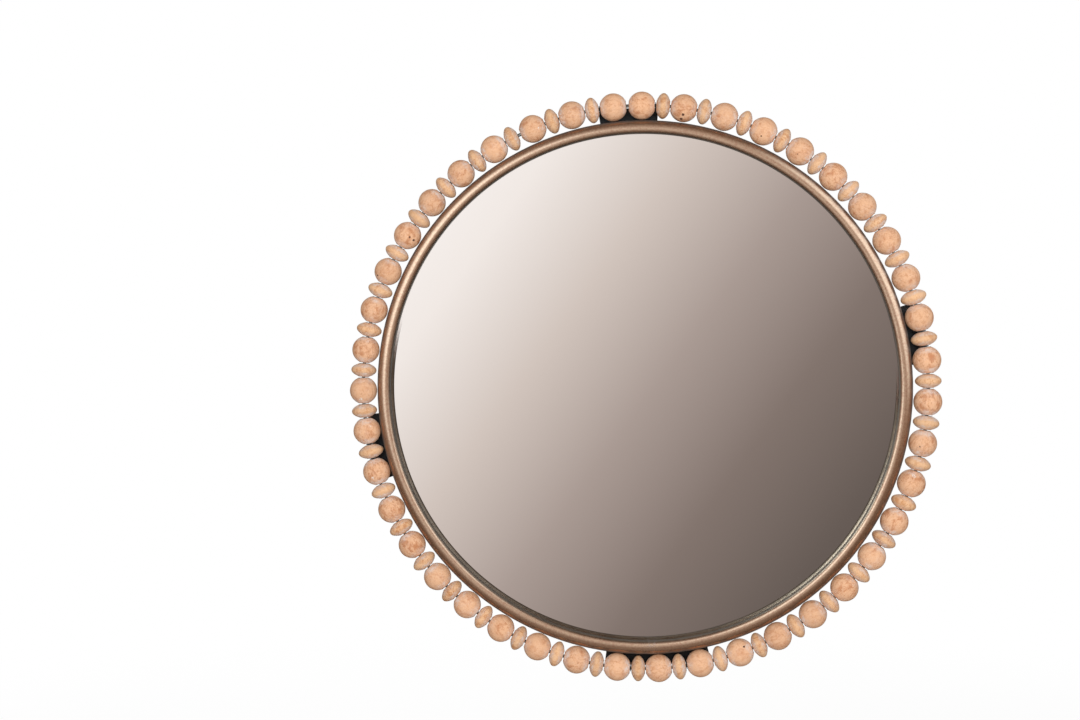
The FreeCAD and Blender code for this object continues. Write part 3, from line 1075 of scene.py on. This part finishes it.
class MIRROR_OT_brackets(PieceOperator, bpy.types.Operator):
    """Paint the four plates behind the beads and ease their edges"""

    bl_idname = "beaded_mirror.brackets"
    bl_label = "Bracket plates"

    def make(self):
        eased = settings().fittings.eased
        for side in ("top", "right", "bottom", "left"):
            node = "bracket_" + side
            piece = eased_copy("painted_" + node, node, once(black_paint), eased)
            place_piece(piece, "frame", "black_steel", node)


class MIRROR_OT_glass(PieceOperator, bpy.types.Operator):
    """Silver the glass and blacken the foam strip that holds it off the tube"""

    bl_idname = "beaded_mirror.glass"
    bl_label = "Glass"

    def make(self):
        dress_node("mirror_glass", once(silvered_glass))
        dress_node("glazing_strip", once(cell_foam))


class MIRROR_OT_backing(PieceOperator, bpy.types.Operator):
    """Finish the band, its tabs and the board behind the glass"""

    bl_idname = "beaded_mirror.backing"
    bl_label = "Band and board"

    def make(self):
        eased = settings().fittings.eased
        for node, name in (("rear_band", "eased_band"), ("board_tabs", "folded_tabs")):
            piece = eased_copy(name, node, once(aged_bronze), eased)
            place_piece(piece, "frame", "aged_bronze", node)
        board = eased_copy("sanded_board", "backing_board", once(fibreboard), eased)
        place_piece(board, "frame", "board", "backing_board")


class MIRROR_OT_hangers(PieceOperator, bpy.types.Operator):
    """Plate the keyhole hangers and their screws"""

    bl_idname = "beaded_mirror.hangers"
    bl_label = "Hangers"

    def make(self):
        plates = eased_copy("plated_hangers", "hanger_plates", once(zinc_plate),
                            settings().fittings.eased)
        place_piece(plates, "frame", "zinc", "hanger_plates")
        dress_node("hanger_screws", once(zinc_plate))


# What the glass shows straight ahead: how far a direction leans up to the left, and the tone there
AHEAD_LEAN = Vector((-0.809, 0.0, 0.588))
AHEAD_TONES = (
    (-0.30, seen(80, 71, 66)), (-0.18, seen(103, 92, 86)), (-0.10, seen(131, 117, 110)),
    (-0.02, seen(170, 155, 148)), (0.06, seen(210, 197, 189)), (0.14, seen(242, 234, 229)),
    (0.22, seen(252, 247, 244)),
)
AHEAD_EDGE = (math.cos(math.radians(17)), math.cos(math.radians(13)))

# What shiny things show of the light tent: levels by height, from straight down to straight up, and
# soft lights that add to them, each by its direction on a clock's face, its angle off straight
# ahead, the angles from its middle where it begins and ends to fade, its level and its tone
HEIGHT_LEVELS = (
    (-1.00, 0.12), (-0.70, 0.15), (-0.40, 0.19), (-0.10, 0.32), (0.20, 0.37), (0.50, 0.35),
    (0.80, 0.30), (1.00, 0.18),
)
COOL = (0.89, 1.24, 1.50)
PLAIN = (0.98, 1.02, 1.04)
WALL_TONE = (1.14, 0.98, 0.86)
SOFT_LIGHTS = (
    (299, 41, 6, 36, 1.15, COOL), (60, 67, 6, 36, 1.15, COOL), (64, 111, 6, 38, 0.90, PLAIN),
    (320, 17, 12, 66, 0.27, COOL), (303, 94, 4, 20, 0.40, PLAIN), (186, 42, 10, 50, 0.15, PLAIN),
)

# What the tube's own reflection in the glass shows instead: a share of that, and a brighter light
TWICE_SHARE = (0.36, 0.41, 0.43)
TWICE_LIGHT = (303, 83, 4, 24, 2.8)
TWICE_TONE = (1.0, 1.5, 1.75)
TENT_RADIUS = 0.385
WHITE = (1.0, 1.0, 1.0)
KEY_PLACE = Vector((0.22, -2.30, 0.36))
KEY_SIZE = (1.4, 0.9)
REAR_PLACE = Vector((-0.50, 2.20, 0.70))
FLOOR_RADIUS = 6.0
FLOOR_FADE = (0.7, 2.4)
FLOOR_TONES = ((0.84, 0.84, 0.83), (0.88, 0.88, 0.87))
FLOOR_BOUNCE = (0.40, 0.39, 0.38)
FLOOR_SEGMENTS = 96
TENT_SEGMENTS = 64
TENT_RINGS = 32
SENSOR_WIDTH = 36.0

# Between the first and the second glossy bounce
SECOND_BOUNCE = 1.5


def bare_net(owner):
    """Net of a material's or world's emptied tree."""
    owner.use_nodes = True
    net = Net(owner.node_tree)
    net.tree.nodes.clear()
    return net


def aim(thing, target):
    thing.rotation_euler = (target - thing.location).to_track_quat("-Z", "Y").to_euler()


def add_lamp(name, place, size, power):
    lamp = bpy.data.lights.new(name, "AREA")
    lamp.shape = "RECTANGLE"
    lamp.size, lamp.size_y = size
    lamp.energy = power
    holder = bpy.data.objects.new(name, lamp)
    bpy.context.scene.collection.objects.link(holder)
    holder.location = place
    aim(holder, Vector((0, -TUBE.depth, 0)))
    holder.visible_camera = False
    holder.visible_glossy = False


def level_ramp(net, value, low, high, stops):
    """Colour ramp over a value that runs from low to high, with its stops as given."""
    span = high - low
    share = net.calc("MULTIPLY_ADD", value, 1 / span, -low / span)
    ramp = net.add("ShaderNodeValToRGB", {"Fac": share})
    elements = ramp.color_ramp.elements
    while len(elements) < len(stops):
        elements.new(0.5)
    for element, (at, tone) in zip(elements, stops):
        element.position = (at - low) / span
        element.color = solid(tone)
    return ramp.outputs[0]


def soft_light(net, direction, clock, off_front, inner, outer, level):
    """Level that a soft round light adds in a direction."""
    turn, off = math.radians(clock), math.radians(off_front)
    centre = outward(turn) * math.sin(off) - Vector((0, math.cos(off), 0))
    near = net.vector("DOT_PRODUCT", direction, centre)
    return net.step(near, math.cos(math.radians(outer)), math.cos(math.radians(inner)), 0.0, level)


def tent_group():
    """Tone that the tent's lights and wall show in a direction."""
    tree, net, given, result = new_group("Tent lights", "ShaderNodeTree", {"Direction": PLACE},
                                         {"Color": COLOUR})
    direction = given["Direction"]
    heights = [(height, tuple(shade * tone for tone in WALL_TONE))
               for height, shade in HEIGHT_LEVELS]
    around = level_ramp(net, net.parts(direction)[2], heights[0][0], heights[-1][0], heights)
    for *light, tone in SOFT_LIGHTS:
        level = soft_light(net, direction, *light)
        around = net.vector("MULTIPLY_ADD", net.grey(level), tone, around)
    connect(net, {result["Color"]: around})
    return tree


def tent_finish():
    """Wall of the tent: it glows in reflections, but the glass's own look straight out of it."""
    material = bpy.data.materials.new("Light tent")
    material.cycles.emission_sampling = "NONE"
    net = bare_net(material)
    direction = net.vector("NORMALIZE", object_place(net))
    once_seen = group_node(net, tent_group, Direction=direction)["Color"]
    bright = soft_light(net, direction, *TWICE_LIGHT)
    bright = net.vector("MULTIPLY", net.grey(bright), TWICE_TONE)
    twice_seen = net.vector("MULTIPLY_ADD", once_seen, TWICE_SHARE, bright)
    path = net.add("ShaderNodeLightPath").outputs
    first = net.calc("LESS_THAN", path["Glossy Depth"], SECOND_BOUNCE)
    glow = net.add("ShaderNodeEmission", {"Color": net.mix(first, twice_seen, once_seen)})
    clear = net.add("ShaderNodeBsdfTransparent")
    straight = net.product(path["Is Singular Ray"], first)
    wall = net.add("ShaderNodeMixShader", {0: straight, 1: glow.outputs[0], 2: clear.outputs[0]})
    net.show("ShaderNodeOutputMaterial", wall.outputs[0])
    return material


def studio_tent(pivot):
    """Light tent close round the mirror, which only reflections in its metal show."""
    mesh = drawn_mesh("light_tent", lambda shape: bmesh.ops.create_uvsphere(
        shape, u_segments=TENT_SEGMENTS, v_segments=TENT_RINGS, radius=TENT_RADIUS))
    mesh.shade_smooth()
    mesh.materials.append(tent_finish())
    tent = new_piece("light_tent", mesh)
    tent.location = pivot
    for ray in ("camera", "diffuse", "transmission", "volume_scatter", "shadow"):
        setattr(tent, "visible_" + ray, False)


def studio_air(ambience):
    """World that is white to the camera, a lit studio in reflections and plain as a light."""
    world = bpy.data.worlds.new("Studio air")
    world.cycles.sampling_method = "NONE"
    net = bare_net(world)
    path = net.add("ShaderNodeLightPath").outputs
    direction = net.add("ShaderNodeTexCoord").outputs["Generated"]
    lean = net.vector("DOT_PRODUCT", direction, AHEAD_LEAN)
    ahead = level_ramp(net, lean, AHEAD_TONES[0][0], AHEAD_TONES[-1][0], AHEAD_TONES)
    parts = net.parts(direction)
    around = group_node(net, tent_group, Direction=direction)["Color"]
    front = net.step(net.product(parts[1], -1.0), *AHEAD_EDGE)
    shiny = net.mix(front, around, ahead)
    from_above = net.step(parts[2], -1.0, 1.0, 0.5 * ambience, 1.5 * ambience)
    plain = net.mix(path["Is Glossy Ray"], net.grey(from_above), shiny)
    shown = net.calc("MAXIMUM", path["Is Camera Ray"], path["Is Transmission Ray"])
    tone = net.mix(shown, plain, solid(WHITE))
    background = net.add("ShaderNodeBackground", {"Color": tone})
    net.show("ShaderNodeOutputWorld", background.outputs[0])
    return world


def floor_finish():
    """Pale floor that shows white but for the shadow on it."""
    material = bpy.data.materials.new("Studio floor")
    net = bare_net(material)
    place = object_place(net)
    tone = net.mix(net.noise(place, 3.0, 3.0), solid(FLOOR_TONES[0]),
                   solid(FLOOR_TONES[1]))
    parts = net.parts(place)
    far = net.step(net.vector("LENGTH", net.joined(parts[0], parts[1])), *FLOOR_FADE, 0.86, 1.0)
    path = net.add("ShaderNodeLightPath").outputs
    dulled = net.mix(path["Is Diffuse Ray"], tone, solid(FLOOR_BOUNCE))
    floor = net.add("ShaderNodeBsdfDiffuse", {"Color": dulled})
    glow = net.add("ShaderNodeEmission", {"Color": solid(WHITE)})
    seen_share = net.product(net.calc("MAXIMUM", path["Is Camera Ray"],
                                      path["Is Transmission Ray"]), far)
    shown = net.add("ShaderNodeMixShader", {0: seen_share, 1: floor.outputs[0],
                                            2: glow.outputs[0]})
    clear = net.add("ShaderNodeBsdfTransparent")
    whole = net.add("ShaderNodeMixShader", {0: path["Is Glossy Ray"], 1: shown.outputs[0],
                                            2: clear.outputs[0]})
    net.show("ShaderNodeOutputMaterial", whole.outputs[0])
    return material


def studio_floor(drop):
    def draw_disc(shape):
        bmesh.ops.create_circle(shape, cap_ends=True, segments=FLOOR_SEGMENTS,
                                radius=FLOOR_RADIUS)
        bmesh.ops.translate(shape, vec=(0, 0, -drop), verts=shape.verts)

    mesh = drawn_mesh("studio_floor", draw_disc)
    mesh.materials.append(floor_finish())
    new_piece("studio_floor", mesh)


def studio_camera(studio, pivot):
    """Camera at the photograph's distance and angles from the ring's centre."""
    flat = math.cos(studio.elevation)
    back = Vector((math.sin(studio.azimuth) * flat, -math.cos(studio.azimuth) * flat,
                   math.sin(studio.elevation)))
    right = back.cross(Vector((0, 0, -1))).normalized()
    up = right.cross(-back)
    look = -back - math.tan(studio.pan) * right + math.tan(studio.tilt) * up
    camera = bpy.data.objects.new("camera", bpy.data.cameras.new("camera"))
    bpy.context.scene.collection.objects.link(camera)
    camera.data.sensor_width = SENSOR_WIDTH
    camera.data.lens = studio.lens
    camera.location = pivot + studio.distance * back
    camera.rotation_euler = look.to_track_quat("-Z", "Y").to_euler()
    bpy.context.scene.camera = camera


PIVOT_BEHIND_TUBE = 4.0 * MM


class MIRROR_OT_studio(PieceOperator, bpy.types.Operator):
    """Set up the camera, lamps, air and floor"""

    bl_idname = "beaded_mirror.studio"
    bl_label = "Studio"

    def make(self):
        studio = settings().studio
        pivot = Vector((0, -TUBE.depth + PIVOT_BEHIND_TUBE, 0))
        studio_camera(studio, pivot)
        studio_floor(studio.floor_drop)
        studio_tent(pivot)
        bpy.context.scene.world = studio_air(studio.ambience)
        add_lamp("key_lamp", KEY_PLACE, KEY_SIZE, studio.key_power)
        add_lamp("rear_lamp", REAR_PLACE, KEY_SIZE, studio.rear_power)
        bpy.context.scene.view_settings.view_transform = "Standard"


class MIRROR_PT_panel(bpy.types.Panel):
    """Lists the mirror's pieces and their settings"""

    bl_idname = "MIRROR_PT_panel"
    bl_label = "Beaded mirror"
    bl_space_type = "VIEW_3D"
    bl_region_type = "UI"
    bl_category = "Beaded mirror"

    def draw(self, context):
        for operator in PIECE_OPERATORS:
            self.layout.operator(operator.bl_idname)
        for name in ("beads", "rings", "fittings", "studio"):
            group = getattr(settings(), name)
            box = self.layout.box()
            box.label(text=name.capitalize())
            for label in type(group).__annotations__:
                box.prop(group, label)


PIECE_OPERATORS = (MIRROR_OT_frame_tube, MIRROR_OT_hoop, MIRROR_OT_brackets, MIRROR_OT_glass,
                   MIRROR_OT_backing, MIRROR_OT_hangers, MIRROR_OT_balls, MIRROR_OT_discs,
                   MIRROR_OT_studio)
CLASSES = (BeadSettings, RingSettings, FittingSettings, StudioSettings, MirrorSettings,
           *PIECE_OPERATORS, MIRROR_PT_panel)


def register():
    for cls in CLASSES:
        bpy.utils.register_class(cls)
    bpy.types.Scene.beaded_mirror = PointerProperty(type=MirrorSettings)


def unregister():
    del bpy.types.Scene.beaded_mirror
    for cls in reversed(CLASSES):
        bpy.utils.unregister_class(cls)


def main():
    register()
    for operator in PIECE_OPERATORS:
        group, name = operator.bl_idname.split(".")
        getattr(getattr(bpy.ops, group), name)()


if __name__ == "__main__":
    main()
